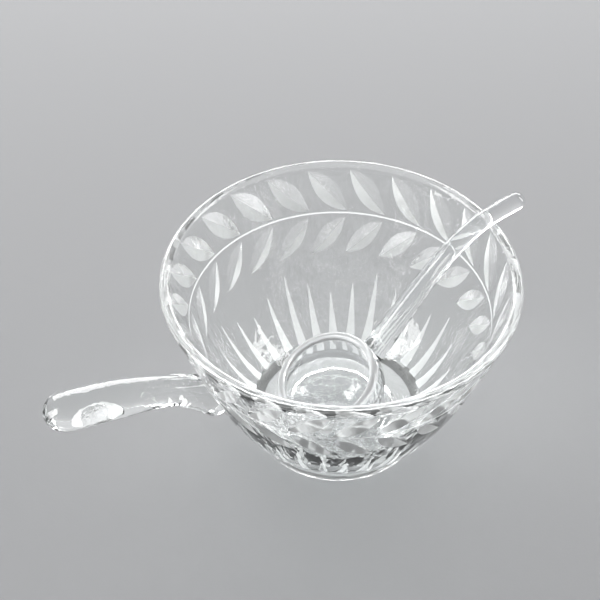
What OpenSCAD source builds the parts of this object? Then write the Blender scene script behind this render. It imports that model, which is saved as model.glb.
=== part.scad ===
// A small footed glass serving bowl with one side handle, and its glass ladle.
// Origin: centre of the foot, on the plane it stands on. +Z is up, the handle points along -X.
// The ladle lies in the bowl with its cup on the floor and its rod over the rim.

/* [Bowl] */
// Outer diameter over the rim
rim_d = 140; // [115:1:170]
// Height from the table to the top of the rim
bowl_h = 82.4; // [68:0.2:99]
// Thickness of the wall at mid height
wall_t = 4.8; // [4:0.1:6]
// Thickness of the rounded rim
rim_t = 4.4; // [4:0.1:6]
// Thickness of the wall where it springs from the foot
base_t = 7; // [6:0.1:8.5]
// Height of the inside floor above the table
floor_z = 8.5; // [7:0.1:11]
// Slope of the wall at the rim, from the vertical
rim_slope = 19.6; // [14:0.2:26]
// Slope of the wall at the foot, from the horizontal
knee_slope = 40; // [34:1:50]

/* [Foot] */
// Diameter of the foot where the wall springs from it
foot_d = 73.6; // [62:0.2:88]
// Height of the plain foot band
foot_h = 8; // [6:0.5:9.5]
// How much the foot band narrows down to the table
foot_taper = 2; // [0.5:0.1:3]
// Width of the flat ring that the bowl stands on
foot_ring_w = 9; // [6:0.5:12]
// Depth of the hollow under the foot
foot_hollow = 2.5; // [1:0.1:3]

/* [Cut leaves] */
// Number of leaves in each row
leaf_count = 24; // [18:1:26]
// Slant of a leaf from the vertical
leaf_slant = 43; // [35:1:50]
// Length of an upper leaf
leaf_l = 24.5; // [19:0.5:25]
// Depth of an upper leaf
leaf_cut = 2.1; // [1:0.1:2.2]
// Length of a lower leaf
low_leaf_l = 22; // [17:0.5:22]
// Depth of a lower leaf
low_leaf_cut = 1.8; // [1:0.1:2]
// Angle of each facet of a cut to the wall's surface
cut_bevel = 23; // [18:1:30]
// Distance of the stem ring below the top of the rim
stem_drop = 23; // [21:0.5:26]
// Depth of the stem ring
stem_cut = 0.6; // [0.4:0.1:1]
// Distance of the upper leaves' centres above the stem
leaf_rise = 9.4; // [9:0.1:11]
// Distance of the lower leaves' centres below the stem
leaf_fall = 9.6; // [9:0.1:11]

/* [Cut rays] */
// Number of rays round the foot
ray_count = 32; // [24:4:36]
// Depth of a ray at the foot
ray_cut = 1.3; // [0.8:0.1:1.6]
// Share of the wall curve that the longest rays climb
ray_reach = 0.54; // [0.4:0.02:0.56]
// Length of each following ray as a share of the longest, in turn
ray_shares = [1, 0.85, 0.72, 0.85];

/* [Bowl handle] */
// Length from the wall to the tip
handle_l = 68; // [55:1:80]
// Height of the root's centre on the wall
handle_z = 33.4; // [28:0.2:40]
// Rise from the root to the tip
handle_rise = 12.8; // [6:0.2:18]
// Width of the paddle that the fingers hold
paddle_w = 18.9; // [14:0.1:21]
// Thickness of the paddle
paddle_t = 12.9; // [9:0.1:13]
// Width of the neck
neck_w = 13.4; // [9:0.1:14]
// Thickness of the neck
neck_t = 12; // [8:0.1:12]
// Depth of the flat oval ground on the underside of the paddle
thumb_flat = 0.8; // [0.3:0.1:1.5]

/* [Ladle] */
// Outer diameter of the ladle cup
cup_d = 43.4; // [36:0.2:50]
// Wall thickness of the ladle cup
cup_t = 3.5; // [2.5:0.1:4.5]
// Distance from the cup's centre to the plane of its mouth
mouth_rise = 4.6; // [2:0.2:8]
// Tilt of the mouth away from the rod
cup_tilt = 24; // [15:1:32]
// Cup centre along X
cup_x = -6.2; // [-9:0.2:0]
// Cup centre along Y
cup_y = -7.9; // [-9:0.2:0]
// Direction of the rod seen from above
rod_turn = 12.5; // [5:0.5:20]
// Diameter of the rod at its free end
rod_d = 7.3; // [6:0.1:9]
// Diameter of the rod where it is fused to the cup
rod_root_d = 11; // [9:0.5:13]
// Length of the rod that stands out past the rim
rod_over = 15; // [8:1:25]
// Slope of the rod where it crosses the rim
rod_lie = 8; // [4:1:14]

/* [Fits] */
// Gap between the resting ladle and the bowl
rest_gap = 0.3; // [0.2:0.1:0.6]
// How deep a fused piece runs into its neighbour's wall
weld = 0.4; // [0.2:0.1:0.8]

/* [Hidden] */
$fn = 96;
clear_glass = [0.80, 0.88, 0.90, 0.55];
ladle_glass = [0.70, 0.82, 0.88, 0.65];

rim_r = rim_d / 2;
foot_r = foot_d / 2;
bead_r = rim_t / 2;
bead_x = rim_r - bead_r;
bead_z = bowl_h - bead_r;
wall_steps = 12;
bead_steps = 6;
floor_steps = 4;

// A point, and its direction, on a cubic curve through p[0] to p[3].
function mix4(p, t) = pow(1 - t, 3) * p[0] + 3 * pow(1 - t, 2) * t * p[1]
    + 3 * (1 - t) * t * t * p[2] + pow(t, 3) * p[3];
function run4(p, t) = pow(1 - t, 2) * (p[1] - p[0]) + 2 * (1 - t) * t * (p[2] - p[1])
    + t * t * (p[3] - p[2]);
function unit(v) = v / norm(v);
function polar(r, a) = [r * cos(a), r * sin(a)];

// Outer wall, from the foot to the rim bead, as [radius, height].
knee_pull = 16;
rim_pull = 40;
bead_side = polar(1, -rim_slope);
wall_end = [bead_x, bead_z] + bead_r * bead_side;
wall_curve = [
    [foot_r, foot_h],
    [foot_r, foot_h] + polar(knee_pull, knee_slope),
    wall_end - rim_pull * [sin(rim_slope), cos(rim_slope)],
    wall_end
];
function wall_at(t) = mix4(wall_curve, t);
function wall_out(t) = let (d = unit(run4(wall_curve, t))) [d[1], -d[0]];
function thick_at(t) = wall_t + (base_t - wall_t) * pow(1 - t, 3) + (rim_t - wall_t) * pow(t, 3);
function inner_at(t) = wall_at(t) - thick_at(t) * wall_out(t);

// The wall's radius and lean at a height, read off the outer curve.
wall_table = [for (i = [0:wall_steps]) let (p = wall_at(i / wall_steps)) [p[1], p[0]]];
function wall_r(z) = lookup(z, wall_table);
function wall_lean(z) = atan((wall_r(z + 4) - wall_r(z - 4)) / 8);

// The inside floor runs level, then turns up into the wall.
floor_turn = inner_at(0);
floor_bend = [floor_turn[0] - (floor_turn[1] - floor_z) / tan(knee_slope), floor_z];
floor_start = floor_bend - [norm(floor_turn - floor_bend), 0];
function floor_at(t) = pow(1 - t, 2) * floor_start + 2 * (1 - t) * t * floor_bend + t * t * floor_turn;

// Outline of the whole bowl wall, walked from the axis out, up, over and back in.
outer_line = concat(
    [[0, foot_hollow], [foot_r - foot_taper - foot_ring_w - foot_hollow, foot_hollow]],
    [[foot_r - foot_taper - foot_ring_w, 0], [foot_r - foot_taper, 0]],
    [for (i = [0:wall_steps]) wall_at(i / wall_steps)]
);
bead_line = [for (i = [1:bead_steps - 1])
    [bead_x, bead_z] + polar(bead_r, -rim_slope + 180 * i / bead_steps)];
inner_line = concat(
    [for (i = [wall_steps:-1:1]) inner_at(i / wall_steps)],
    [for (i = [floor_steps:-1:0]) floor_at(i / floor_steps)],
    [[0, floor_z]]
);

module bowl_blank() {
    rotate_extrude() polygon(concat(outer_line, bead_line, inner_line));
}

// The bowl's outer shape with no hollow, drawn in by an inset, for fitting the handle.
module bowl_core(inset) {
    core = [for (i = [0:wall_steps]) wall_at(i / wall_steps) - inset * wall_out(i / wall_steps)];
    rotate_extrude() polygon(concat([[0, foot_h]], core, [[0, wall_end[1]]]));
}

// One V cut by the edge of a grinding wheel, centred on the wall at a height.
// The wheel's radius follows from the cut's length and depth and the wall's curve.
wheel_rim = 5;
wheel_arc = 70;
module wheel_cut(azimuth, z, slant, length, depth) {
    wall_curl = pow(sin(slant), 2) / wall_r(z);
    wheel_r = 1 / (8 * depth / pow(length, 2) - wall_curl);
    half_w = wheel_rim / tan(cut_bevel);
    rotate([0, 0, azimuth])
    translate([wall_r(z), 0, z])
    rotate([0, wall_lean(z), 0])
    rotate([slant, 0, 0])
    translate([wheel_r - depth, 0, 0])
    rotate([90, 0, 0])
    rotate([0, 0, 180 - wheel_arc / 2])
    rotate_extrude(angle = wheel_arc)
        polygon([[wheel_r, 0], [wheel_r - wheel_rim, half_w], [wheel_r - wheel_rim, -half_w]]);
}

// Both rows of leaves, and the stem ring between them. The leaf that the handle covers is left out.
leaf_turn = -1;
stem_z = bowl_h - stem_drop;
function angle_off(a, b) = abs((a - b + 540) % 360 - 180);
function under_handle(a, z) = z < handle_z + neck_w * 1.6
    && angle_off(a, 180) < asin(neck_w / 2 / wall_r(handle_z)) + 3;
module leaf_cuts() {
    for (i = [0:leaf_count - 1]) {
        a = leaf_turn + 360 * i / leaf_count;
        wheel_cut(a, stem_z + leaf_rise, -leaf_slant, leaf_l, leaf_cut);
        if (!under_handle(a, stem_z - leaf_fall))
            wheel_cut(a, stem_z - leaf_fall, leaf_slant, low_leaf_l, low_leaf_cut);
    }
}
module stem_ring() {
    r = wall_r(stem_z);
    rotate_extrude()
        polygon([[r - stem_cut, stem_z], [r + 1, stem_z - 1.6], [r + 1, stem_z + 1.6]]);
}

// One ray: a V that follows the wall up from the foot and thins out to a point.
// It bends where the wall's outline bends, so its depth is true all the way.
ray_turn = 5.5;
ray_lift = 0.6;
function ray_ring(t, depth) = let (
        p = wall_at(t), n = wall_out(t), half = (depth + ray_lift) / tan(cut_bevel + 8),
        low = p - depth * n, high = p + ray_lift * n
    ) [[low[0], 0, low[1]], [high[0], half, high[1]], [high[0], -half, high[1]]];
module ray_cutter(reach) {
    stops = [for (i = [0:floor(reach * wall_steps)]) i / wall_steps];
    rings = [for (t = stops) ray_ring(t, ray_cut * sqrt(1 - t / reach))];
    loft(concat(rings, [ray_ring(reach, -0.9 * ray_lift)]));
}
module ray_cuts() {
    for (i = [0:ray_count - 1]) {
        a = ray_turn + 360 * i / ray_count;
        share = ray_shares[i % len(ray_shares)];
        if (!under_handle(a, handle_z))
            rotate([0, 0, a]) ray_cutter(ray_reach * share);
    }
}

// A closed skin over a row of rings that all have the same number of points.
module loft(rings) {
    n = len(rings[0]);
    last = len(rings) - 1;
    sides = [for (i = [0:last - 1], j = [0:n - 1])
        [i * n + j, i * n + (j + 1) % n, (i + 1) * n + (j + 1) % n, (i + 1) * n + j]];
    cap_start = [[for (j = [n - 1:-1:0]) j]];
    cap_end = [[for (j = [0:n - 1]) last * n + j]];
    polyhedron([for (ring = rings, p = ring) p], concat(cap_start, sides, cap_end), convexity = 6);
}

module bowl_body() {
    color(clear_glass)
    difference() {
        bowl_blank();
        leaf_cuts();
        stem_ring();
        ray_cuts();
    }
}

// Handle: an oval bar that leaves the wall steeply, levels out and widens into a paddle.
handle_sides = 16;
handle_steps = 16;
handle_lead = 5;
handle_climb = 42;
root_w = 14.6;
root_t = 17.9;
handle_root = [wall_r(handle_z), handle_z];
handle_tip = handle_root + [handle_l, handle_rise];
handle_curve = [
    handle_root - polar(handle_lead, handle_climb),
    handle_root + polar(0.3 * handle_l, handle_climb),
    handle_tip - [0.5 * handle_l, 0],
    handle_tip
];
paddle_end = paddle_w / 2;
function ease(t) = t <= 0 ? 0 : t >= 1 ? 1 : t * t * (3 - 2 * t);
function bar_size(t, root, neck, paddle) =
    t < 0.36 ? root + (neck - root) * ease(t / 0.36) : neck + (paddle - neck) * ease((t - 0.36) / 0.4);
function end_share(x) = let (e = (handle_tip[0] - x) / paddle_end)
    e >= 1 ? 1 : sqrt(max(0.004, 1 - pow(1 - e, 2)));
function handle_ring(t) = let (
        p = mix4(handle_curve, t), d = unit(run4(handle_curve, t)), n = [-d[1], d[0]],
        share = end_share(p[0]),
        w = share * bar_size(t, root_w, neck_w, paddle_w) / 2,
        h = share * bar_size(t, root_t, neck_t, paddle_t) / 2
    ) [for (j = [0:handle_sides - 1]) let (a = 360 * (j + 0.5) / handle_sides, q = p + h * sin(a) * n)
        [-q[0], w * cos(a), q[1]]];
module bowl_handle() {
    steps = concat(
        [for (i = [0:handle_steps - 1]) 0.9 * i / handle_steps],
        [for (i = [0:5]) 0.9 + 0.1 * sin(90 * i / 5)]
    );
    flat_z = handle_tip[1] - paddle_t / 2 + thumb_flat;
    color(clear_glass)
    difference() {
        loft([for (t = steps) handle_ring(t)]);
        bowl_core(weld);
        translate([-handle_tip[0] - 1, -paddle_w, flat_z - paddle_t])
            cube([handle_l * 0.5, 2 * paddle_w, paddle_t]);
    }
}

// Ladle cup: a thick ball, hollowed and cut off at its mouth, with a rounded lip.
cup_r = cup_d / 2;
cup_z = floor_z + rest_gap + cup_r;
module at_cup() {
    translate([cup_x, cup_y, cup_z]) children();
}
module ladle_cup() {
    lip_r = cup_r - cup_t / 2;
    lip_x = sqrt(pow(lip_r, 2) - pow(mouth_rise, 2));
    color(ladle_glass)
    at_cup() rotate([0, 0, rod_turn]) rotate([0, -cup_tilt, 0])
    rotate_extrude() union() {
        difference() {
            circle(cup_r);
            circle(cup_r - cup_t);
            translate([-2 * cup_r, -2 * cup_r]) square([2 * cup_r, 4 * cup_r]);
            polygon([[0, 0], [2 * lip_x, 2 * mouth_rise], [2 * lip_x, 2 * cup_r], [0, 2 * cup_r]]);
        }
        translate([lip_x, mouth_rise]) circle(cup_t / 2);
    }
}

// Ladle rod: in a vertical plane through the cup's centre. It climbs from the cup's side,
// bends over and crosses the rim's bead with the resting gap, measured square to the rod.
rod_sides = 12;
rod_steps = 16;
rod_climb = 45;
rod_root_at = 19;
rod_root_pull = 20;
rod_rim_pull = 22;
rod_r = rod_d / 2;
cup_along = cup_x * cos(rod_turn) + cup_y * sin(rod_turn);
cup_aside = cup_y * cos(rod_turn) - cup_x * sin(rod_turn);
rim_reach = sqrt(pow(bead_x, 2) - pow(cup_aside, 2)) - cup_along;
rod_rim = [rim_reach, bead_z + (bead_r + rest_gap + rod_r) / cos(rod_lie) - cup_z];
rod_start = polar(cup_r - cup_t / 2, rod_root_at);
rod_curve = [
    rod_start,
    rod_start + polar(rod_root_pull, rod_climb),
    rod_rim - polar(rod_rim_pull, rod_lie),
    rod_rim
];
function rod_ring(p, a, r) = [for (j = [0:rod_sides - 1])
    let (b = 360 * j / rod_sides, q = p + r * sin(b) * polar(1, a + 90)) [q[0], -r * cos(b), q[1]]];
module ladle_handle() {
    bend = [for (i = [0:rod_steps]) let (
            t = i / rod_steps, d = run4(rod_curve, t),
            r = rod_r + (rod_root_d / 2 - rod_r) * pow(1 - t, 2)
        ) rod_ring(mix4(rod_curve, t), atan2(d[1], d[0]), r)];
    tail = [for (a = [0:15:75])
        rod_ring(rod_rim + polar(rod_over - rod_r + rod_r * sin(a), rod_lie), rod_lie, rod_r * cos(a))];
    color(ladle_glass)
    at_cup() rotate([0, 0, rod_turn])
    difference() {
        loft(concat(bend, tail));
        sphere(cup_r - weld);
    }
}

bowl_body();
bowl_handle();
ladle_cup();
ladle_handle();
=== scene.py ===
"""A cut-glass serving bowl on a foot, with one side handle and a loose glass ladle."""

import math

import bpy
from mathutils import Matrix, Vector


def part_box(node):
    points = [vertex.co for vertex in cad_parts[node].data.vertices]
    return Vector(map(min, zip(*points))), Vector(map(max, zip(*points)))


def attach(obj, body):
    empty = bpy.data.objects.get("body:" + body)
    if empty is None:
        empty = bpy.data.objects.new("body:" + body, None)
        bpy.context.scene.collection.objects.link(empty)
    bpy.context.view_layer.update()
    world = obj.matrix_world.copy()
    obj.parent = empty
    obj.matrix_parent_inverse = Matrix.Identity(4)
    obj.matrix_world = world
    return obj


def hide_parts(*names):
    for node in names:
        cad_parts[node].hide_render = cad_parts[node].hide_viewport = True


bl_info = {
    "name": "Handled Glass Serving Bowl",
    "version": (1, 0, 0),
    "blender": (4, 5, 0),
    "location": "3D Viewport > Sidebar > Glass Bowl",
    "description": "Builds a cut-glass bowl with a side handle, its ladle and a studio around the CAD frame",
    "category": "Add Mesh",
}

MM = 0.001
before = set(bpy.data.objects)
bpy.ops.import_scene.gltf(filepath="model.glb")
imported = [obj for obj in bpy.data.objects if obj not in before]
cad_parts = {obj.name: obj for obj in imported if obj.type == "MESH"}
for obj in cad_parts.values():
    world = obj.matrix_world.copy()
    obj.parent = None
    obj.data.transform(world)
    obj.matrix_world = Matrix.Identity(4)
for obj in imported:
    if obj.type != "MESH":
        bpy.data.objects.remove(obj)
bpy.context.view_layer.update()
_, BOWL_HIGH = (Vector(corner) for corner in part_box("bowl_body"))
GRIP_LOW, _ = (Vector(corner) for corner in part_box("bowl_handle"))


# ---------------------------------------------------------------- sizes

def length(name, description, default):
    """A length property in metres."""
    return bpy.props.FloatProperty(
        name=name, description=description, default=default, unit="LENGTH", precision=4
    )


def turn(name, description, degrees):
    """An angle property, given here in degrees."""
    return bpy.props.FloatProperty(
        name=name, description=description, default=math.radians(degrees), subtype="ANGLE"
    )


def share(name, description, default, low=0.0, high=1.0):
    """A property that is a share of something."""
    return bpy.props.FloatProperty(
        name=name, description=description, default=default, min=low, max=high, subtype="FACTOR"
    )


def watts(name, description, default):
    """A lamp's power."""
    return bpy.props.FloatProperty(name=name, description=description, default=default, min=0, unit="POWER")


def amount(name, description, default, low, high):
    """A number with no unit."""
    return bpy.props.FloatProperty(name=name, description=description, default=default, min=low, max=high)


def count(name, description, default, low, high):
    """A whole-number property."""
    return bpy.props.IntProperty(name=name, description=description, default=default, min=low, max=high)


def tint(name, description, default):
    """A colour property."""
    return bpy.props.FloatVectorProperty(
        name=name, description=description, default=default, subtype="COLOR", size=3, min=0, max=1
    )


class BowlSizes(bpy.types.PropertyGroup):
    """Sizes of the bowl's wall and foot."""

    rim_radius: length("Rim radius", "Outer radius over the rim", 70 * MM)
    height: length("Height", "Top of the rim above the table", BOWL_HIGH.z)
    wall: length("Wall", "Thickness of the wall at mid height", 4.8 * MM)
    rim: length("Rim thickness", "Thickness of the rounded rim", 4.4 * MM)
    base: length("Base thickness", "Thickness of the wall where it leaves the foot", 7 * MM)
    floor: length("Floor height", "Inside floor above the table", 8.5 * MM)
    rim_slope: turn("Rim slope", "Lean of the wall at the rim, from the vertical", 19.6)
    knee_slope: turn("Knee slope", "Rise of the wall at the foot, from the horizontal", 40)
    foot_radius: length("Foot radius", "Radius where the wall leaves the foot", 36.8 * MM)
    foot_height: length("Foot height", "Height of the plain foot band", 8 * MM)
    foot_taper: length("Foot taper", "How much the foot band narrows to the table", 2 * MM)
    foot_ring: length("Foot ring", "Width of the flat ring under the foot", 9 * MM)
    foot_hollow: length("Foot hollow", "Depth of the hollow under the foot", 2.5 * MM)
    around: count("Segments", "Steps round the bowl", 192, 96, 256)


class CutSizes(bpy.types.PropertyGroup):
    """Sizes of the cut leaves, the stem ring and the rays."""

    leaves: count("Leaves", "Leaves in each row", 24, 12, 30)
    slant: turn("Leaf slant", "Slant of a leaf from the vertical", 43)
    upper_length: length("Upper leaf length", "Length of an upper leaf", 24.5 * MM)
    upper_depth: length("Upper leaf depth", "Depth of an upper leaf", 2.1 * MM)
    lower_length: length("Lower leaf length", "Length of a lower leaf", 22 * MM)
    lower_depth: length("Lower leaf depth", "Depth of a lower leaf", 1.8 * MM)
    bevel: turn("Facet angle", "Angle of a leaf's facets to the wall", 23)
    stem_drop: length("Stem drop", "Stem ring below the top of the rim", 23 * MM)
    stem_depth: length("Stem depth", "Depth of the stem ring", 0.5 * MM)
    leaf_rise: length("Leaf rise", "Upper leaves' centres above the stem", 9.4 * MM)
    leaf_fall: length("Leaf fall", "Lower leaves' centres below the stem", 9.6 * MM)
    rays: count("Rays", "Rays round the foot", 32, 16, 40)
    ray_depth: length("Ray depth", "Depth of a ray at the foot", 1.4 * MM)
    ray_reach: share("Ray reach", "Share of the wall curve that the longest rays climb", 0.56, 0.3, 0.7)
    ray_bevel: turn("Ray facet angle", "Angle of a ray's facets to the wall", 39)


class GripSizes(bpy.types.PropertyGroup):
    """Sizes of the bowl's side handle."""

    root_height: length("Root height", "Height of the root's centre on the wall", 33.4 * MM)
    rise: length("Rise", "Rise from the root to the tip", 12.8 * MM)
    climb: turn("Climb", "Slope of the handle where it leaves the wall", 42)
    root_width: length("Root width", "Width where it joins the wall", 14.6 * MM)
    root_depth: length("Root depth", "Depth where it joins the wall", 17.9 * MM)
    neck_width: length("Neck width", "Width of the neck", 13.4 * MM)
    neck_depth: length("Neck depth", "Depth of the neck", 12 * MM)
    paddle_width: length("Paddle width", "Width of the paddle", 18.9 * MM)
    paddle_depth: length("Paddle depth", "Depth of the paddle", 12.9 * MM)
    dish_length: length("Dish length", "Length of the dish's flat oval floor, under the paddle", 11.79 * MM)
    dish_width: length("Dish width", "Width of the dish's flat oval floor", 4.41 * MM)
    dish_depth: length("Dish depth", "Depth of the dish's floor", 1.2 * MM)
    dish_back: length("Dish setback", "Distance of the dish's centre from the tip", 19.5 * MM)
    dish_flare: amount("Dish flare", "How many times wider the dish is 4 mm below its floor", 3.333, 1, 5)


class LadleSizes(bpy.types.PropertyGroup):
    """Sizes of the ladle's cup and rod."""

    cup_radius: length("Cup radius", "Outer radius of the cup", 21.7 * MM)
    cup_wall: length("Cup wall", "Thickness of the cup's wall", 3.5 * MM)
    mouth_rise: length("Mouth rise", "Cup's centre to the plane of its mouth", 4.6 * MM)
    tilt: turn("Cup tilt", "Tilt of the mouth away from the rod", 24)
    heading: turn("Rod heading", "Direction of the rod seen from above", 12.5)
    centre: bpy.props.FloatVectorProperty(
        name="Cup centre", description="Centre of the cup's ball", unit="LENGTH", size=3,
        default=(-6.2 * MM, -7.9 * MM, 30.5 * MM), precision=4,
    )
    rod: length("Rod diameter", "Diameter of the rod at its free end", 7.3 * MM)
    root: length("Root diameter", "Diameter of the rod where it joins the cup", 11 * MM)
    over: length("Overhang", "Length of the rod past the rim", 15 * MM)
    lie: turn("Rod slope at rim", "Slope of the rod where it crosses the rim", 8)


class GlassLook(bpy.types.PropertyGroup):
    """Colour and surface of the glass."""

    bowl_tint: tint("Bowl tint", "Colour of light through the bowl's glass", (0.985, 0.995, 0.99))
    ladle_tint: tint("Ladle tint", "Colour of light through the ladle's glass", (0.985, 0.992, 0.995))
    ior: amount("Refraction", "Index of refraction", 1.52, 1.4, 1.7)
    polish: share("Polish", "Roughness of the fire-polished surface", 0.012, 0, 0.3)
    satin: share("Satin", "Roughness of the cut facets", 0.3, 0, 0.6)
    # Besides being ground satin, this finish paints highlights with its white share: on the lit flank of
    # each leaf, along the stem ring and round the handle's dish.
    ground_clear: share("Ground clarity", "Share of light that a ground facet lets through", 0.63, 0.5)
    cut_clear: share("Cut clarity", "Share of light that a polished facet lets through", 0.95, 0.5)
    worn_clear: share("Worn clarity", "Share of light that a worn rim or foot lets through", 0.86, 0.5)
    # The lip's white share is a painted highlight, the bright band round the ladle's mouth.
    lip_clear: share("Lip clarity", "Share of light that the ladle's lip lets through", 0.68, 0.5)
    ripple: length("Ripple", "Height of the upright ripples that the mould leaves", 0.14 * MM)


class StageLook(bpy.types.PropertyGroup):
    """Floor, lamps and camera."""

    floor_tint: tint("Floor", "Colour of the floor", (0.205, 0.206, 0.21))
    back_power: watts("Back lamp", "Power of the wide lamp behind", 14)
    left_power: watts("Left lamp", "Power of the lamp on the left", 9)
    right_power: watts("Right lamp", "Power of the lamp on the right", 6.5)
    air: amount("Air", "Strength of the even light from all round", 0.72, 0, 3)
    lens: amount("Lens", "Focal length in millimetres", 96, 20, 300)


SETTINGS = {
    "glass_bowl": BowlSizes, "glass_cuts": CutSizes, "glass_grip": GripSizes,
    "glass_ladle": LadleSizes, "glass_look": GlassLook, "glass_stage": StageLook,
}


# ---------------------------------------------------------------- shader expressions

class Socket:
    """A shader value that can be written in Python expressions; each operation adds its Math node."""

    def __init__(self, graph, output):
        self.graph = graph
        self.output = output

    def math(self, operation, *values):
        return self.graph.node("ShaderNodeMath", {"operation": operation}, dict(enumerate(values)))

    def __add__(self, other):
        return self.math("ADD", self, other)

    __radd__ = __add__

    def __mul__(self, other):
        return self.math("MULTIPLY", self, other)

    __rmul__ = __mul__


class Graph:
    """A new material and its node tree."""

    def __init__(self, name):
        self.material = bpy.data.materials.new(name)
        self.material.use_nodes = True
        self.tree = self.material.node_tree
        self.tree.nodes.clear()

    def node(self, kind, settings=None, inputs=None, output=0):
        """Adds any node: its settings first, then the values or links of its sockets."""
        made = self.tree.nodes.new(kind)
        for key, value in (settings or {}).items():
            if key == "stops":
                self.stops(made.color_ramp, value)
            else:
                setattr(made, key, value)
        for key, value in (inputs or {}).items():
            if isinstance(value, Socket):
                self.tree.links.new(value.output, made.inputs[key])
            else:
                made.inputs[key].default_value = value
        return Socket(self, made.outputs[output]) if made.outputs else None

    @staticmethod
    def stops(ramp, stops):
        """Places a ramp's stops, each a place and a grey level."""
        while len(ramp.elements) < len(stops):
            ramp.elements.new(0.5)
        for element, (place, level) in zip(ramp.elements, stops):
            element.position = place
            element.color = (level, level, level, 1)

    def place(self, scale):
        """Object coordinates, scaled along X, Y and Z."""
        raw = self.node("ShaderNodeTexCoord", output="Object")
        return self.node("ShaderNodeMapping", {}, {"Vector": raw, "Scale": scale})

    def noise(self, scale, detail=2.0, roughness=0.5, distortion=0.0):
        """Grey noise from 0 to 1, with that many grains to the metre along X, Y and Z."""
        return self.node(
            "ShaderNodeTexNoise", {},
            {"Vector": self.place(scale), "Scale": 1.0, "Detail": detail, "Roughness": roughness,
             "Distortion": distortion},
        )

    def bump(self, height, distance, under=None):
        """A bump of that height in metres, on top of another one."""
        sockets = {"Height": height, "Distance": distance, "Strength": 1.0}
        if under is not None:
            sockets["Normal"] = under
        return self.node("ShaderNodeBump", {}, sockets)


SHADOW_TINT = (0.86, 0.87, 0.87, 1)


def glass_material(graph, colour, ior, clear, roughness, normal):
    """Glass that lets a share of the light through, clear, and scatters the rest.
    It only dims a lamp's light on what stands behind it."""
    glass = graph.node(
        "ShaderNodeBsdfPrincipled", {},
        {"Base Color": (*colour, 1), "IOR": ior, "Transmission Weight": clear,
         "Roughness": roughness, "Normal": normal},
    )
    lamp_ray = graph.node("ShaderNodeLightPath", output="Is Shadow Ray")
    through = graph.node("ShaderNodeBsdfTransparent", {}, {"Color": SHADOW_TINT})
    surface = graph.node("ShaderNodeMixShader", {}, {0: lamp_ray, 1: glass, 2: through})
    graph.node("ShaderNodeOutputMaterial", {}, {"Surface": surface})
    return graph.material


# ---------------------------------------------------------------- glass finishes

def flow_marks(graph, look):
    """Upright ripples, slow waves and a few seed bubbles open to the surface, as a bump."""
    waves = graph.noise((70, 70, 55), 1.0)
    ripples = graph.noise((300, 300, 28), 1.5, 0.5, 0.5)
    cells = graph.node(
        "ShaderNodeTexVoronoi", {}, {"Vector": graph.place((120, 120, 120)), "Scale": 1.0}, "Distance"
    )
    seeds = graph.node("ShaderNodeValToRGB", {"stops": ((0.02, 1.0), (0.05, 0.0))}, {"Fac": cells})
    soft = graph.bump(waves, look.ripple * 2.5)
    lined = graph.bump(ripples, look.ripple, under=soft)
    return graph.bump(seeds, 0.12 * MM, under=lined)


def polished_glass(name, colour, clear, look):
    """Fire-polished glass: smooth, with ripples and faint rubbed patches."""
    graph = Graph(name)
    rubbed = graph.node(
        "ShaderNodeValToRGB", {"stops": ((0.5, 0.0), (0.75, 1.0))},
        {"Fac": graph.noise((45, 45, 45), 4.0)},
    )
    roughness = rubbed * 0.02 + look.polish
    return glass_material(graph, colour, look.ior, clear, roughness, flow_marks(graph, look))


def satin_glass(name, colour, clear, look):
    """Surface left by a grinding wheel: fine grain, and blotches that were polished less."""
    graph = Graph(name)
    grain = graph.noise((1500, 1500, 1500))
    blotches = graph.noise((300, 300, 300), 3.0, 0.6)
    dents = graph.bump(blotches, 0.3 * MM)
    roughness = blotches * look.satin + 0.02
    return glass_material(
        graph, colour, look.ior, clear, roughness, graph.bump(grain, 0.006 * MM, under=dents)
    )


def fused_joint(name):
    """The hidden face where two pieces of glass are fused: light passes straight through it."""
    graph = Graph(name)
    clear = graph.node("ShaderNodeBsdfTransparent", {}, {"Color": (1, 1, 1, 1)})
    graph.node("ShaderNodeOutputMaterial", {}, {"Surface": clear})
    return graph.material


def finish_named(name):
    """A finish by name, made the first time it is asked for."""
    if name in bpy.data.materials:
        return bpy.data.materials[name]
    if name == "fused_joint":
        return fused_joint(name)
    look = bpy.context.scene.glass_look
    piece, finish = name.split("_")
    colour = look.ladle_tint if piece == "ladle" else look.bowl_tint
    clear = 1.0 if finish == "clear" else getattr(look, f"{finish}_clear")
    # The first of these two satin finishes also paints highlights with its white share.
    make = satin_glass if finish in ("ground", "cut") else polished_glass
    return make(name, colour, clear, look)


# ---------------------------------------------------------------- modelling by operators

def polar(radius, angle):
    """A radius and an angle as (across, up)."""
    return Vector((radius * math.cos(angle), radius * math.sin(angle)))


class Curve:
    """A cubic curve through four control points."""

    def __init__(self, *points):
        self.points = [Vector(point) for point in points]

    def at(self, t):
        """The point at t, from 0 to 1."""
        a, b, c, d = self.points
        s = 1 - t
        return s ** 3 * a + 3 * s * s * t * b + 3 * s * t * t * c + t ** 3 * d

    def along(self, t):
        """The direction at t."""
        a, b, c, d = self.points
        s = 1 - t
        return (s * s * (b - a) + 2 * s * t * (c - b) + t * t * (d - c)).normalized()


def start(kind, name, **place):
    """Adds a primitive with nothing else selected and opens it, with all of it selected."""
    bpy.ops.object.select_all(action="DESELECT")
    getattr(bpy.ops.mesh, f"primitive_{kind}_add")(**place)
    piece = bpy.context.object
    piece.name = name
    piece.data.name = name
    bpy.ops.object.mode_set(mode="EDIT")
    return piece


def close_up(piece, finish):
    """Leaves edit mode, applies the piece's place and gives it one finish."""
    bpy.ops.object.mode_set(mode="OBJECT")
    only(piece)
    bpy.ops.object.transform_apply(location=True, rotation=True, scale=True)
    piece.data.materials.clear()
    piece.data.materials.append(finish_named(finish))
    return piece


def set_at(piece, place):
    """Moves the selected piece by a matrix and applies its new place."""
    piece.matrix_world = place
    bpy.ops.object.transform_apply(location=True, rotation=True, scale=True)


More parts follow.
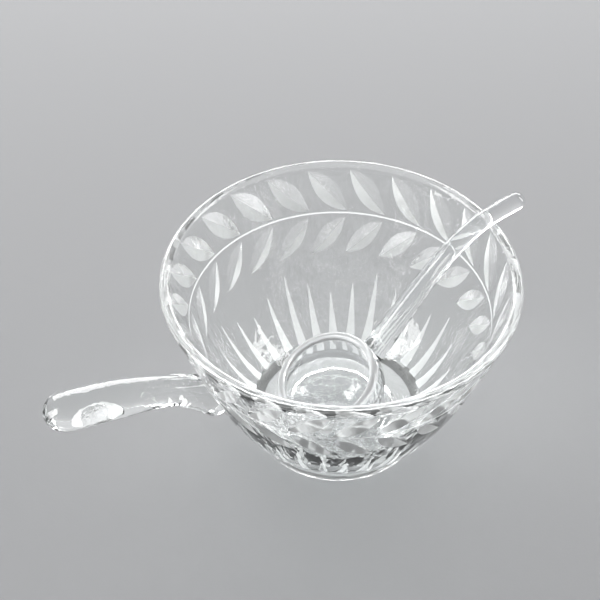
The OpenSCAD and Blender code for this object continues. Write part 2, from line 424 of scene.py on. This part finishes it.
def only(piece):
    """Makes this the one selected, active piece."""
    bpy.ops.object.select_all(action="DESELECT")
    piece.select_set(True)
    bpy.context.view_layer.objects.active = piece


def everything():
    """Selects the whole mesh in edit mode."""
    bpy.ops.mesh.select_all(action="SELECT")


def dot(name, point):
    """Starts a piece as one vertex at a point."""
    piece = start("plane", name, size=MM, location=point)
    bpy.ops.mesh.merge(type="CENTER")
    return piece


def draw(points):
    """Extrudes the one selected vertex from point to point."""
    for here, there in zip(points, points[1:]):
        bpy.ops.mesh.extrude_vertices_move(TRANSFORM_OT_translate={"value": there - here})


def sweep_round(piece, steps, angle, axis, finish):
    """Spins what is drawn round an axis through the origin, joins it up and closes the piece."""
    everything()
    bpy.ops.mesh.spin(steps=steps, angle=angle, center=(0, 0, 0), axis=axis)
    everything()
    bpy.ops.mesh.remove_doubles(threshold=0.002 * MM)
    bpy.ops.mesh.normals_make_consistent(inside=False)
    return close_up(piece, finish)


def lathe(name, outline, around, finish):
    """Spins an outline of (radius, height) points round Z into a closed shell."""
    points = [Vector((r, 0, z)) for r, z in outline]
    piece = dot(name, points[0])
    draw(points)
    return sweep_round(piece, around, math.tau, (0, 0, 1), finish)


def skin(name, rings, sides, finish):
    """Bridges a row of oval rings, each (centre, way, side, width, depth), and closes the two ends.
    way is square to the ring; its width, and its first corner, lie along side."""
    piece = start("plane", name, size=MM)
    bpy.ops.mesh.delete(type="VERT")
    for centre, way, side, width, depth in rings:
        turned = Matrix((side, way.cross(side), way)).transposed()
        bpy.ops.mesh.primitive_circle_add(
            vertices=sides, radius=width / 2, location=centre, rotation=turned.to_euler()
        )
        if depth != width:
            bpy.ops.transform.resize(
                value=(1, depth / width, 1), center_override=centre,
                orient_type="GLOBAL", orient_matrix=turned, orient_matrix_type="GLOBAL",
            )
    everything()
    bpy.ops.mesh.bridge_edge_loops(type="SINGLE")
    bpy.ops.mesh.select_all(action="DESELECT")
    bpy.ops.mesh.select_non_manifold(extend=False)
    bpy.ops.mesh.edge_face_add()
    everything()
    bpy.ops.mesh.normals_make_consistent(inside=False)
    return close_up(piece, finish)


def copies_round(piece, pitch, number):
    """Repeats the selected piece round Z, within its own mesh."""
    bpy.ops.object.mode_set(mode="EDIT")
    everything()
    bpy.ops.mesh.spin(
        steps=number - 1, dupli=True, angle=-pitch * (number - 1), center=(0, 0, 0), axis=(0, 0, 1)
    )
    bpy.ops.object.mode_set(mode="OBJECT")
    return piece


def apply(piece, kind, **settings):
    """Adds one modifier and applies it."""
    only(piece)
    modifier = piece.modifiers.new(kind, kind)
    for key, value in settings.items():
        setattr(modifier, key, value)
    bpy.ops.object.modifier_apply(modifier=modifier.name)


def carve(piece, cutter):
    """Cuts the cutter out of the piece; the cut faces take the cutter's finish."""
    apply(
        piece, "BOOLEAN", object=cutter, operation="DIFFERENCE", solver="EXACT", material_mode="TRANSFER"
    )
    bpy.data.objects.remove(cutter)


def knit(piece):
    """Merges corners that a cut left on top of each other."""
    only(piece)
    bpy.ops.object.mode_set(mode="EDIT")
    everything()
    bpy.ops.mesh.remove_doubles(threshold=0.001 * MM)
    bpy.ops.object.mode_set(mode="OBJECT")


def own_copy(piece, name, finish):
    """A copy with its own mesh and one finish."""
    twin = piece.copy()
    twin.data = piece.data.copy()
    twin.name = twin.data.name = name
    bpy.context.scene.collection.objects.link(twin)
    twin.data.materials.clear()
    twin.data.materials.append(finish_named(finish))
    return twin


def refinish(piece, finish, wanted):
    """Gives a second finish to the faces that wanted(face) picks."""
    piece.data.materials.append(finish_named(finish))
    for face in piece.data.polygons:
        if wanted(face):
            face.material_index = len(piece.data.materials) - 1


def smooth(piece, degrees):
    """Smooth shading that keeps every crease sharper than this."""
    only(piece)
    bpy.ops.object.shade_smooth_by_angle(angle=math.radians(degrees), keep_sharp_edges=False)


# ---------------------------------------------------------------- the bowl

class Wall:
    """The bowl's wall: its outer curve, thickness and whole outline."""

    KNEE_PULL = 16 * MM
    RIM_PULL = 40 * MM

    def __init__(self, sizes):
        self.sizes = sizes
        self.bead = sizes.rim / 2
        self.bead_centre = Vector((sizes.rim_radius - self.bead, sizes.height - self.bead))
        foot = Vector((sizes.foot_radius, sizes.foot_height))
        top = self.bead_centre + polar(self.bead, -sizes.rim_slope)
        lean = Vector((math.sin(sizes.rim_slope), math.cos(sizes.rim_slope)))
        self.curve = Curve(
            foot, foot + polar(self.KNEE_PULL, sizes.knee_slope), top - self.RIM_PULL * lean, top
        )

    def outward(self, t):
        """The direction square to the outside."""
        way = self.curve.along(t)
        return Vector((way.y, -way.x))

    def thick(self, t):
        """The wall's thickness."""
        sizes = self.sizes
        return sizes.wall + (sizes.base - sizes.wall) * (1 - t) ** 3 + (sizes.rim - sizes.wall) * t ** 3

    def outer(self, steps, inset=0.0):
        """Points up the outside, drawn in by an inset."""
        return [self.curve.at(i / steps) - inset * self.outward(i / steps) for i in range(steps + 1)]

    def rim(self, steps):
        """Points over the rounded rim."""
        first = -self.sizes.rim_slope
        return [self.bead_centre + polar(self.bead, first + math.pi * i / steps) for i in range(1, steps)]

    def inner(self, steps):
        """Points down the inside."""
        turns = [i / steps for i in range(steps, -1, -1)]
        return [self.curve.at(t) - self.thick(t) * self.outward(t) for t in turns]

    def floor(self, steps):
        """Points along the inside floor, from the wall to the axis."""
        turn_in = self.curve.at(0) - self.thick(0) * self.outward(0)
        level = self.sizes.floor
        bend = Vector((turn_in.x - (turn_in.y - level) / math.tan(self.sizes.knee_slope), level))
        flat = bend - Vector(((turn_in - bend).length, 0))
        line = []
        for i in range(steps - 1, -1, -1):
            t = i / steps
            line.append((1 - t) ** 2 * flat + 2 * (1 - t) * t * bend + t * t * turn_in)
        return line + [flat * part + Vector((0, level * (1 - part))) for part in (0.66, 0.33, 0.0)]

    def foot(self):
        """Points under the foot, from the axis out to where the wall starts."""
        sizes = self.sizes
        edge = sizes.foot_radius - sizes.foot_taper
        ring = edge - sizes.foot_ring
        hollow = sizes.foot_hollow
        soft = 0.7 * MM
        under = [
            Vector((0, hollow)), Vector((ring * 0.35, hollow)), Vector((ring * 0.68, hollow)),
            Vector((ring - hollow - soft, hollow)), Vector((ring - hollow, hollow - 0.3 * soft)),
            Vector((ring - 0.3 * soft, 0.3 * soft)), Vector((ring + soft, 0)),
        ]
        side = Vector((sizes.foot_taper, sizes.foot_height)).normalized()
        turn_out = [
            Vector((edge - soft, 0)), Vector((edge - 0.3 * soft, 0.1 * soft)),
            Vector((edge, 0)) + 0.5 * soft * side, Vector((edge, 0)) + 1.4 * soft * side,
        ]
        band = Vector((edge, 0)) + 0.5 * sizes.foot_height * side
        return under + turn_out + [band]

    def outline(self):
        return self.foot() + self.outer(44) + self.rim(16) + self.inner(40) + self.floor(8)

    def place_at(self, height):
        """(radius, lean from the vertical) of the outside at a height."""
        low, high = 0.0, 1.0
        while high - low > 1e-6:
            middle = (low + high) / 2
            low, high = (middle, high) if self.curve.at(middle).y < height else (low, middle)
        way = self.curve.along(low)
        return self.curve.at(low).x, math.atan2(way.x, way.y)


def wheel_row(name, wall, cuts, height, slant, size, depth, first, number):
    """V-edged grinding wheels, one set into the wall for each leaf of a row, as one piece.
    The wheel's radius follows from the cut's length and depth and the wall's own curve."""
    radius, lean = wall.place_at(height)
    wheel = 1 / (8 * depth / size ** 2 - math.sin(slant) ** 2 / radius)
    edge = depth + 0.35 * MM
    half = edge / math.tan(cuts.bevel)
    sweep = 2 * math.asin((size / 2 + 2.5 * MM) / wheel)
    wedge = [Vector((wheel, 0, 0)), Vector((wheel - edge, half, 0)), Vector((wheel - edge, -half, 0))]
    piece = dot(name, wedge[0])
    draw(wedge)
    everything()
    bpy.ops.mesh.edge_face_add()
    sweep_round(piece, 26, sweep, (0, 1, 0), "bowl_cut")
    # The two flanks of each leaf get a lit and a shaded copy of one finish: one flank is made partly white,
    # a painted highlight where the light catches it, and the other is left clear.
    refinish(piece, "bowl_ground", lambda face: face.normal.y * slant > 0)
    facing = Matrix.Rotation(lean, 4, "Y") @ Matrix.Rotation(slant, 4, "X")
    middle = Matrix.Rotation(math.pi, 4, "Z") @ Matrix.Rotation(sweep / 2, 4, "Y")
    set_in = Matrix.Translation((wheel - depth, 0, 0)) @ middle
    on_wall = Matrix.Rotation(first, 4, "Z") @ Matrix.Translation((radius, 0, height))
    set_at(piece, on_wall @ facing @ set_in)
    return copies_round(piece, math.tau / cuts.leaves, number)


def ray_row(name, wall, cuts, part, first, number, pitch):
    """V-shaped cutters that follow the wall up from the foot and thin out to a point."""
    reach = cuts.ray_reach * part
    below = 0.01  # share of the wall curve by which a ray starts under the foot's corner
    lift = 0.5 * MM
    steps = 14
    rings = []
    for i in range(steps + 1):
        t = reach * i / steps - below * (1 - i / steps)
        depth = cuts.ray_depth * (1 - i / steps) ** 0.8 if i < steps else -0.85 * lift
        tall = depth + lift
        flat = wall.curve.at(t) + wall.outward(t) * (lift - tall / 3)
        inward = -wall.outward(t)
        way = wall.curve.along(t)
        rings.append((
            Vector((flat.x, 0, flat.y)), Vector((way.x, 0, way.y)), Vector((inward.x, 0, inward.y)),
            tall * 4 / 3, tall / math.tan(cuts.ray_bevel) * 4 / math.sqrt(3),
        ))
    piece = skin(name, rings, 3, "bowl_ground")
    set_at(piece, Matrix.Rotation(first, 4, "Z"))
    return copies_round(piece, pitch, number)


def stem_ring(name, wall, cuts, around):
    """The V-shaped ring between the two rows of leaves."""
    height = wall.sizes.height - cuts.stem_drop
    radius, _ = wall.place_at(height)
    size = 0.9 * MM
    deep, out = radius - cuts.stem_depth, radius + size
    outline = [(deep, height), (out, height + size), (out, height - size), (deep, height)]
    # The ring's partly white finish paints in the bright line that light draws along it.
    return lathe(name, outline, around, "bowl_ground")


LEAF_TURN = math.radians(-1)
RAY_TURN = math.radians(5.5)
HANDLE_TURN = math.pi


class GLASS_OT_bowl(bpy.types.Operator):
    """Turns the bowl and grinds its leaves, stem ring and rays"""

    bl_idname = "glass.bowl"
    bl_label = "Bowl"

    def execute(self, context):
        scene = context.scene
        sizes, cuts = scene.glass_bowl, scene.glass_cuts
        wall = Wall(sizes)
        bowl = lathe("cut_bowl", wall.outline(), sizes.around, "bowl_clear")
        contact = 0.2 * MM
        refinish(
            bowl, "bowl_worn",
            lambda face: face.center.z > wall.bead_centre.y or face.center.z < contact,
        )
        # The handle covers one long ray, one middle ray and one lower leaf, which are left out.
        step = math.tau / cuts.rays
        long_first = RAY_TURN + HANDLE_TURN + 4 * step
        middle_first = RAY_TURN + HANDLE_TURN + step
        for part, first, number, gap in (
            (1.0, long_first, cuts.rays // 4 - 1, 4 * step),
            (0.85, middle_first, cuts.rays // 2 - 1, 2 * step),
            (0.72, RAY_TURN + 2 * step, cuts.rays // 4, 4 * step),
        ):
            carve(bowl, ray_row("ray_wheels", wall, cuts, part, first, number, gap))
        stem = sizes.height - cuts.stem_drop
        pitch = math.tau / cuts.leaves
        upper = wheel_row(
            "upper_wheels", wall, cuts, stem + cuts.leaf_rise, -cuts.slant,
            cuts.upper_length, cuts.upper_depth, LEAF_TURN, cuts.leaves,
        )
        lower = wheel_row(
            "lower_wheels", wall, cuts, stem - cuts.leaf_fall, cuts.slant,
            cuts.lower_length, cuts.lower_depth, LEAF_TURN + HANDLE_TURN + pitch, cuts.leaves - 1,
        )
        carve(bowl, upper)
        carve(bowl, lower)
        carve(bowl, stem_ring("stem_wheel", wall, cuts, sizes.around))
        smooth(bowl, 13)
        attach(bowl, "bowl")
        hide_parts("bowl_body")
        return {"FINISHED"}


# ---------------------------------------------------------------- the bowl's handle

def ease(t):
    """A smooth step from 0 to 1."""
    t = min(1.0, max(0.0, t))
    return t * t * (3 - 2 * t)


NECK_AT = 0.36
PADDLE_AT = 0.76
FUSE_INSET = 0.05 * MM


def swell(t, root, neck, paddle):
    """A size along the handle: it narrows from the root to the neck, then widens to the paddle."""
    if t < NECK_AT:
        return root + (neck - root) * ease(t / NECK_AT)
    return neck + (paddle - neck) * ease((t - NECK_AT) / (PADDLE_AT - NECK_AT))


class GLASS_OT_grip(bpy.types.Operator):
    """Draws out the side handle, grinds its dish and fuses it to the wall"""

    bl_idname = "glass.grip"
    bl_label = "Side Handle"

    LEAD = 5 * MM  # how far inside the wall the bar starts
    ROUNDING = 0.2 * MM  # how much the smoothed tip draws back
    DISH_WHEEL = 4 * MM  # thickness of the wheel that grinds the dish
    SPLIT = 0.9  # share of the bar after which the rings close up for the round nose

    def execute(self, context):
        scene = context.scene
        grip, wall = scene.glass_grip, Wall(scene.glass_bowl)
        radius, _ = wall.place_at(grip.root_height)
        root = Vector((radius, grip.root_height))
        tip = Vector((-GRIP_LOW.x + self.ROUNDING, grip.root_height + grip.rise))
        reach = tip.x - root.x
        curve = Curve(
            root - polar(self.LEAD, grip.climb), root + polar(0.3 * reach, grip.climb),
            tip - Vector((0.5 * reach, 0)), tip,
        )
        end = grip.paddle_width / 2
        bar = [self.SPLIT * i / 22 for i in range(22)]
        nose = [self.SPLIT + (1 - self.SPLIT) * math.sin(math.pi / 2 * i / 9) for i in range(9)]
        rings = []
        for t in bar + nose:
            here, way = curve.at(t), curve.along(t)
            left = (tip.x - here.x) / end
            rounded = 1 if left >= 1 else math.sqrt(max(0.006, 1 - (1 - left) ** 2))
            rings.append((
                Vector((-here.x, 0, here.y)), Vector((-way.x, 0, way.y)), Vector((0, 1, 0)),
                rounded * swell(t, grip.root_width, grip.neck_width, grip.paddle_width),
                rounded * swell(t, grip.root_depth, grip.neck_depth, grip.paddle_depth),
            ))
        handle = skin("side_handle", rings, 28, "bowl_clear")
        apply(handle, "SUBSURF", levels=1, render_levels=1)
        dish_floor = tip.y - grip.paddle_depth / 2 + grip.dish_depth
        dish = start(
            "cone", "dish_wheel", vertices=64, radius1=grip.dish_flare, radius2=1, depth=self.DISH_WHEEL,
            location=(GRIP_LOW.x + grip.dish_back, 0, dish_floor - self.DISH_WHEEL / 2),
            scale=(grip.dish_length / 2, grip.dish_width / 2, 1),
        )
        # The dish's sloped sides take the partly white finish, a painted highlight for the bright ring that
        # light makes round the clear floor.
        close_up(dish, "bowl_ground")
        refinish(dish, "bowl_cut", lambda face: face.normal.z > 0.99)
        carve(handle, dish)
        fuse(handle, bpy.data.objects["cut_bowl"], wall_core(wall, scene.glass_bowl.around))
        smooth(handle, 25)
        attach(handle, "bowl")
        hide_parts("bowl_handle")
        return {"FINISHED"}


def wall_core(wall, around):
    """The bowl's outer shape as a solid, a hair inside its surface."""
    line = wall.outer(44, FUSE_INSET)
    outline = [Vector((0, line[0].y))] + line + [Vector((0, line[-1].y))]
    return lathe("wall_core", outline, around, "fused_joint")


def fuse(branch, trunk, core):
    """Ends the branch just inside the trunk's surface and beds it there, face to face."""
    carve(branch, core)
    bed = own_copy(branch, "bed", "fused_joint")
    carve(trunk, bed)
    knit(trunk)


# ---------------------------------------------------------------- the ladle

class GLASS_OT_ladle_cup(bpy.types.Operator):
    """Blows the ladle's ball-shaped cup with its rounded lip"""

    bl_idname = "glass.ladle_cup"
    bl_label = "Ladle Cup"

    def execute(self, context):
        sizes = context.scene.glass_ladle
        outer, inner = sizes.cup_radius, sizes.cup_radius - sizes.cup_wall
        bead = sizes.cup_wall / 2
        lip = math.asin(sizes.mouth_rise / (outer - bead))
        outside = [polar(outer, -math.pi / 2 + (lip + math.pi / 2) * i / 56) for i in range(57)]
        centre = polar(outer - bead, lip)
        rim = [centre + polar(bead, lip + math.pi * i / 16) for i in range(1, 16)]
        inside = [polar(inner, lip - (lip + math.pi / 2) * i / 48) for i in range(49)]
        outside[0].x = inside[-1].x = 0
        cup = lathe("ladle_bowl", outside + rim + inside, 128, "ladle_clear")
        # The lip takes a partly white finish, a painted highlight for the bright band that light makes round
        # the cup's mouth.
        refinish(cup, "ladle_lip", lambda face: face.center.z > sizes.mouth_rise)
        facing = Matrix.Translation(sizes.centre) @ Matrix.Rotation(sizes.heading, 4, "Z")
        set_at(cup, facing @ Matrix.Rotation(-sizes.tilt, 4, "Y"))
        smooth(cup, 20)
        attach(cup, "ladle")
        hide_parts("ladle_cup")
        return {"FINISHED"}


class GLASS_OT_ladle_rod(bpy.types.Operator):
    """Bends the ladle's rod over the rim and fuses it to the cup"""

    bl_idname = "glass.ladle_rod"
    bl_label = "Ladle Rod"

    REST_GAP = 0.3 * MM
    ROOT_AT = math.radians(19)
    ROOT_CLIMB = math.radians(45)
    ROOT_PULL = 20 * MM
    RIM_PULL = 22 * MM

    def execute(self, context):
        scene = context.scene
        sizes, wall = scene.glass_ladle, Wall(scene.glass_bowl)
        x, y, z = sizes.centre
        along = x * math.cos(sizes.heading) + y * math.sin(sizes.heading)
        aside = y * math.cos(sizes.heading) - x * math.sin(sizes.heading)
        rim_reach = math.sqrt(wall.bead_centre.x ** 2 - aside ** 2) - along
        thin = sizes.rod / 2
        clear = (wall.bead + self.REST_GAP + thin) / math.cos(sizes.lie)
        rest = Vector((rim_reach, wall.bead_centre.y + clear - z))
        first = polar(sizes.cup_radius - sizes.cup_wall / 2, self.ROOT_AT)
        curve = Curve(
            first, first + polar(self.ROOT_PULL, self.ROOT_CLIMB),
            rest - polar(self.RIM_PULL, sizes.lie), rest,
        )
        rings = []

        def add(here, way, width):
            """One more round ring."""
            rings.append((
                Vector((here.x, 0, here.y)), Vector((way.x, 0, way.y)), Vector((0, 1, 0)), width, width,
            ))

        for i in range(33):
            t = i / 32
            add(curve.at(t), curve.along(t), sizes.rod + (sizes.root - sizes.rod) * (1 - t) ** 2)
        tail = polar(1, sizes.lie)
        for angle in [math.pi / 2 * i / 8 for i in range(8)]:
            out = sizes.over - thin + thin * math.sin(angle)
            add(rest + tail * out, tail, sizes.rod * math.cos(angle))
        rod = skin("ladle_rod", rings, 24, "ladle_clear")
        apply(rod, "SUBSURF", levels=1, render_levels=1)
        set_at(rod, Matrix.Translation(sizes.centre) @ Matrix.Rotation(sizes.heading, 4, "Z"))
        ball = start(
            "uv_sphere", "cup_core", segments=128, ring_count=64,
            radius=sizes.cup_radius - FUSE_INSET, location=sizes.centre,
        )
        fuse(rod, bpy.data.objects["ladle_bowl"], close_up(ball, "fused_joint"))
        smooth(rod, 25)
        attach(rod, "ladle")
        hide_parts("ladle_handle")
        return {"FINISHED"}


# ---------------------------------------------------------------- the studio

BOWL_MIDDLE = Vector((0, 0, 40 * MM))
AIR_TINT = (0.97, 0.985, 1, 1)
LIGHT_BOUNCES = 32
CAMERA_PLACE = (-0.166235, -0.410512, 0.509142)
CAMERA_HEADING = math.radians(-20)
CAMERA_PITCH = math.radians(90 - 44.86)
CAMERA_ROLL = math.radians(0.28)


def lamp(name, place, size, power):
    """A soft rectangular lamp that faces the middle of the bowl."""
    bpy.ops.object.light_add(type="AREA", location=place)
    made = bpy.context.object
    made.name = name
    made.data.shape = "RECTANGLE"
    made.data.size, made.data.size_y = size
    made.data.energy = power
    made.rotation_euler = (BOWL_MIDDLE - made.location).to_track_quat("-Z", "Y").to_euler()


class GLASS_OT_studio(bpy.types.Operator):
    """Lays the floor and sets the lamps and the camera"""

    bl_idname = "glass.studio"
    bl_label = "Studio"

    def execute(self, context):
        look = context.scene.glass_stage
        bpy.ops.object.select_all(action="DESELECT")
        bpy.ops.mesh.primitive_plane_add(size=6, location=(0, 0, -0.2 * MM))
        floor = context.object
        floor.name = "floor"
        graph = Graph("studio_floor")
        paper = graph.bump(graph.noise((900, 900, 900)), 0.02 * MM)
        matt = graph.node(
            "ShaderNodeBsdfPrincipled", {},
            {"Base Color": (*look.floor_tint, 1), "Roughness": 0.8, "Normal": paper},
        )
        graph.node("ShaderNodeOutputMaterial", {}, {"Surface": matt})
        floor.data.materials.append(graph.material)

        world = bpy.data.worlds.new("studio_air")
        world.use_nodes = True
        air = world.node_tree.nodes["Background"].inputs
        air["Color"].default_value = AIR_TINT
        air["Strength"].default_value = look.air
        context.scene.world = world
        context.scene.view_settings.view_transform = "Standard"
        context.scene.cycles.max_bounces = LIGHT_BOUNCES
        context.scene.cycles.transmission_bounces = LIGHT_BOUNCES
        lamp("back_lamp", (0.25, 0.8, 0.35), (1.3, 0.5), look.back_power)
        lamp("left_lamp", (-0.9, 0.15, 0.5), (0.4, 0.9), look.left_power)
        lamp("right_lamp", (0.85, -0.25, 0.5), (0.3, 0.9), look.right_power)

        bpy.ops.object.camera_add(location=CAMERA_PLACE)
        camera = context.object
        camera.name = "camera"
        camera.data.sensor_width = 36
        camera.data.lens = look.lens
        camera.data.clip_start = 0.01
        heading = Matrix.Rotation(CAMERA_HEADING, 4, "Z")
        pitch = Matrix.Rotation(CAMERA_PITCH, 4, "X")
        roll = Matrix.Rotation(CAMERA_ROLL, 4, "Z")
        camera.rotation_euler = (heading @ pitch @ roll).to_euler()
        context.scene.camera = camera
        return {"FINISHED"}


class GLASS_PT_bowl(bpy.types.Panel):
    """The bowl's sizes and the buttons that make each piece"""

    bl_idname = "GLASS_PT_bowl"
    bl_label = "Glass Bowl"
    bl_space_type = "VIEW_3D"
    bl_region_type = "UI"
    bl_category = "Glass Bowl"

    def draw(self, context):
        for operator in PIECES:
            self.layout.operator(operator.bl_idname)
        for name, group in SETTINGS.items():
            box = self.layout.box()
            box.label(text=group.__doc__)
            for key in group.__annotations__:
                box.prop(getattr(context.scene, name), key)


PIECES = (GLASS_OT_bowl, GLASS_OT_grip, GLASS_OT_ladle_cup, GLASS_OT_ladle_rod, GLASS_OT_studio)


def register():
    for group in SETTINGS.values():
        bpy.utils.register_class(group)
    for name, group in SETTINGS.items():
        setattr(bpy.types.Scene, name, bpy.props.PointerProperty(type=group))
    for operator in PIECES:
        bpy.utils.register_class(operator)
    bpy.utils.register_class(GLASS_PT_bowl)


def unregister():
    bpy.utils.unregister_class(GLASS_PT_bowl)
    for operator in reversed(PIECES):
        bpy.utils.unregister_class(operator)
    for name, group in SETTINGS.items():
        delattr(bpy.types.Scene, name)
        bpy.utils.unregister_class(group)


def main():
    """Builds every piece."""
    register()
    bpy.ops.glass.bowl()
    bpy.ops.glass.grip()
    bpy.ops.glass.ladle_cup()
    bpy.ops.glass.ladle_rod()
    bpy.ops.glass.studio()


if __name__ == "__main__":
    main()
